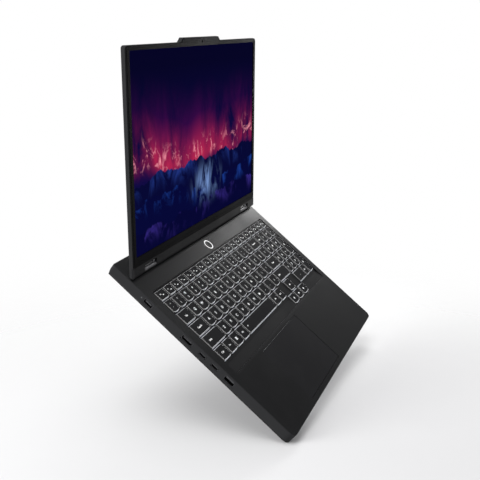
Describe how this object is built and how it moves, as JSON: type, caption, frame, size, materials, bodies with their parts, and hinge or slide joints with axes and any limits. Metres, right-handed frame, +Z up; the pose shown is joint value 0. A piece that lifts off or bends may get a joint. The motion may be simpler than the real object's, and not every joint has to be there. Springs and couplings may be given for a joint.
{
  "type": "laptop computer",
  "caption": "Laptop computer with a lid that opens flat, back-lit keys that press, a clicking touchpad, side ports and two cooling fans inside.",
  "frame": {"origin": "centre of the bounding box's footprint, on the surface that the rubber feet stand on, with the lid open as drawn", "axes": "+X to the user's right, +Y from the front edge towards the hinge and the back, +Z up"},
  "size_m": [0.345, 0.3804, 0.2094],
  "materials": {
    "shell": "fine matte graphite paint",
    "bottom_shell": "matte black",
    "rubber": "soft matte",
    "screw_steel": "blackened",
    "grille_plastic": "matte black",
    "frame_plastic": "matte black",
    "steel": "rolled sheet",
    "hinge_metal": "satin",
    "light_film": "milky, lit",
    "dome_rubber": "translucent",
    "ring_diffuser": "milky, lit white",
    "board": "solder-masked board",
    "chip": "moulded chip",
    "copper": "bare copper",
    "fin_aluminium": "bare",
    "fan_plastic": "black",
    "battery_case": "black film",
    "speaker_case": "black",
    "port_metal": "dark nickel",
    "port_plastic": "black",
    "touchpad_glass": "matte etched",
    "button": "satin",
    "bezel_plastic": "fine grain black",
    "strip_plastic": "satin grey",
    "screen": null,
    "lens": "camera module",
    "keycap": "matte black with lit skirts"
  },
  "bodies": {
    "base": {"top_cover": "shell", "bottom_cover": "bottom_shell", "rear_grilles": "grille_plastic", "rubber_feet": "rubber", "cover_screws": "screw_steel", "key_frame": "frame_plastic", "keyboard_plate": "steel", "light_sheet": "light_film", "key_supports": "dome_rubber", "power_ring": "ring_diffuser", "touchpad_bracket": "steel", "motherboard": "board", "processor_chips": "chip", "memory_modules": "board", "solid_state_drive": "board", "wireless_card": "board", "cold_plates": "copper", "heat_pipes": "copper", "fin_stacks": "fin_aluminium", "fan_housings": "fan_plastic", "battery": "battery_case", "speakers": "speaker_case", "hinge_brackets": "hinge_metal", "power_jack": "port_metal", "hdmi_port": "port_metal", "usb_c_ports": "port_metal", "usb_a_ports": "port_metal", "ethernet_port": "port_plastic", "audio_jack": "port_plastic"},
    "lid": {"lid_cover": "shell", "display_bezel": "bezel_plastic", "display_panel": "screen", "webcam": "lens", "hinge_strip": "strip_plastic", "hinge_leaves": "steel"},
    "fan_rotor_left": {"fan_rotor_left": "fan_plastic"},
    "fan_rotor_right": {"fan_rotor_right": "fan_plastic"},
    "touchpad": {"touchpad": "touchpad_glass"},
    "power_button": {"power_button": "button"},
    "camera_switch": {"camera_switch": "button"},
    "escape_key": {"escape_key": "keycap"},
    "function_keys": {"function_keys": "keycap"},
    "digit_keys": {"digit_keys": "keycap"},
    "backspace_key": {"backspace_key": "keycap"},
    "tab_key": {"tab_key": "keycap"},
    "upper_letter_keys": {"upper_letter_keys": "keycap"},
    "caps_lock_key": {"caps_lock_key": "keycap"},
    "home_letter_keys": {"home_letter_keys": "keycap"},
    "enter_key": {"enter_key": "keycap"},
    "left_shift_key": {"left_shift_key": "keycap"},
    "lower_letter_keys": {"lower_letter_keys": "keycap"},
    "right_shift_key": {"right_shift_key": "keycap"},
    "left_control_key": {"left_control_key": "keycap"},
    "modifier_keys": {"modifier_keys": "keycap"},
    "space_key": {"space_key": "keycap"},
    "up_arrow_key": {"up_arrow_key": "keycap"},
    "left_arrow_key": {"left_arrow_key": "keycap"},
    "down_arrow_key": {"down_arrow_key": "keycap"},
    "right_arrow_key": {"right_arrow_key": "keycap"},
    "number_pad_keys": {"number_pad_keys": "keycap"}
  },
  "joints": [
    {"name": "lid_hinge", "type": "hinge", "parent": "base", "child": "lid", "pos_m": [0, 0.04319, 0.0201], "axis": [-1, 0, 0], "range_deg": [-127.6, 52.4]},
    {"name": "left_fan_spin", "type": "hinge", "parent": "base", "child": "fan_rotor_left", "pos_m": [-0.09945, -0.00021, 0.0074], "axis": [0, 0, 1], "continuous": true},
    {"name": "right_fan_spin", "type": "hinge", "parent": "base", "child": "fan_rotor_right", "pos_m": [0.09945, -0.00021, 0.0074], "axis": [0, 0, 1], "continuous": true},
    {"name": "touchpad_click", "type": "hinge", "parent": "base", "child": "touchpad", "pos_m": [-0.03985, -0.10931, 0.0154], "axis": [1, 0, 0], "range_deg": [0, 0.45], "stiffness_Nm_per_rad": 12, "springref_deg": -0.23},
    {"name": "power_press", "type": "slide", "parent": "base", "child": "power_button", "axis": [0, 0, -1], "range_m": [0, 0.0005], "stiffness_N_per_m": 1500, "springref_m": -0.0003},
    {"name": "camera_switch_slide", "type": "slide", "parent": "base", "child": "camera_switch", "axis": [0, -1, 0], "range_m": [0, 0.002]},
    {"name": "escape_key_press", "type": "slide", "parent": "base", "child": "escape_key", "axis": [0, 0, -1], "range_m": [0, 0.0014], "stiffness_N_per_m": 450, "springref_m": -0.0006},
    {"name": "function_keys_press", "type": "slide", "parent": "base", "child": "function_keys", "axis": [0, 0, -1], "range_m": [0, 0.0014], "stiffness_N_per_m": 1962, "springref_m": -0.0006},
    {"name": "digit_keys_press", "type": "slide", "parent": "base", "child": "digit_keys", "axis": [0, 0, -1], "range_m": [0, 0.0014], "stiffness_N_per_m": 1622, "springref_m": -0.0006},
    {"name": "backspace_key_press", "type": "slide", "parent": "base", "child": "backspace_key", "axis": [0, 0, -1], "range_m": [0, 0.0014], "stiffness_N_per_m": 450, "springref_m": -0.0006},
    {"name": "tab_key_press", "type": "slide", "parent": "base", "child": "tab_key", "axis": [0, 0, -1], "range_m": [0, 0.0014], "stiffness_N_per_m": 450, "springref_m": -0.0006},
    {"name": "upper_letter_keys_press", "type": "slide", "parent": "base", "child": "upper_letter_keys", "axis": [0, 0, -1], "range_m": [0, 0.0014], "stiffness_N_per_m": 1622, "springref_m": -0.0006},
    {"name": "caps_lock_key_press", "type": "slide", "parent": "base", "child": "caps_lock_key", "axis": [0, 0, -1], "range_m": [0, 0.0014], "stiffness_N_per_m": 450, "springref_m": -0.0006},
    {"name": "home_letter_keys_press", "type": "slide", "parent": "base", "child": "home_letter_keys", "axis": [0, 0, -1], "range_m": [0, 0.0014], "stiffness_N_per_m": 1492, "springref_m": -0.0006},
    {"name": "enter_key_press", "type": "slide", "parent": "base", "child": "enter_key", "axis": [0, 0, -1], "range_m": [0, 0.0014], "stiffness_N_per_m": 450, "springref_m": -0.0006},
    {"name": "left_shift_key_press", "type": "slide", "parent": "base", "child": "left_shift_key", "axis": [0, 0, -1], "range_m": [0, 0.0014], "stiffness_N_per_m": 450, "springref_m": -0.0006},
    {"name": "lower_letter_keys_press", "type": "slide", "parent": "base", "child": "lower_letter_keys", "axis": [0, 0, -1], "range_m": [0, 0.0014], "stiffness_N_per_m": 1423, "springref_m": -0.0006},
    {"name": "right_shift_key_press", "type": "slide", "parent": "base", "child": "right_shift_key", "axis": [0, 0, -1], "range_m": [0, 0.0014], "stiffness_N_per_m": 450, "springref_m": -0.0006},
    {"name": "left_control_key_press", "type": "slide", "parent": "base", "child": "left_control_key", "axis": [0, 0, -1], "range_m": [0, 0.0014], "stiffness_N_per_m": 450, "springref_m": -0.0006},
    {"name": "modifier_keys_press", "type": "slide", "parent": "base", "child": "modifier_keys", "axis": [0, 0, -1], "range_m": [0, 0.0014], "stiffness_N_per_m": 1006, "springref_m": -0.0006},
    {"name": "space_key_press", "type": "slide", "parent": "base", "child": "space_key", "axis": [0, 0, -1], "range_m": [0, 0.0014], "stiffness_N_per_m": 450, "springref_m": -0.0006},
    {"name": "up_arrow_key_press", "type": "slide", "parent": "base", "child": "up_arrow_key", "axis": [0, 0, -1], "range_m": [0, 0.0014], "stiffness_N_per_m": 450, "springref_m": -0.0006},
    {"name": "left_arrow_key_press", "type": "slide", "parent": "base", "child": "left_arrow_key", "axis": [0, 0, -1], "range_m": [0, 0.0014], "stiffness_N_per_m": 450, "springref_m": -0.0006},
    {"name": "down_arrow_key_press", "type": "slide", "parent": "base", "child": "down_arrow_key", "axis": [0, 0, -1], "range_m": [0, 0.0014], "stiffness_N_per_m": 450, "springref_m": -0.0006},
    {"name": "right_arrow_key_press", "type": "slide", "parent": "base", "child": "right_arrow_key", "axis": [0, 0, -1], "range_m": [0, 0.0014], "stiffness_N_per_m": 450, "springref_m": -0.0006},
    {"name": "number_pad_keys_press", "type": "slide", "parent": "base", "child": "number_pad_keys", "axis": [0, 0, -1], "range_m": [0, 0.0014], "stiffness_N_per_m": 1855, "springref_m": -0.0006}
  ]
}
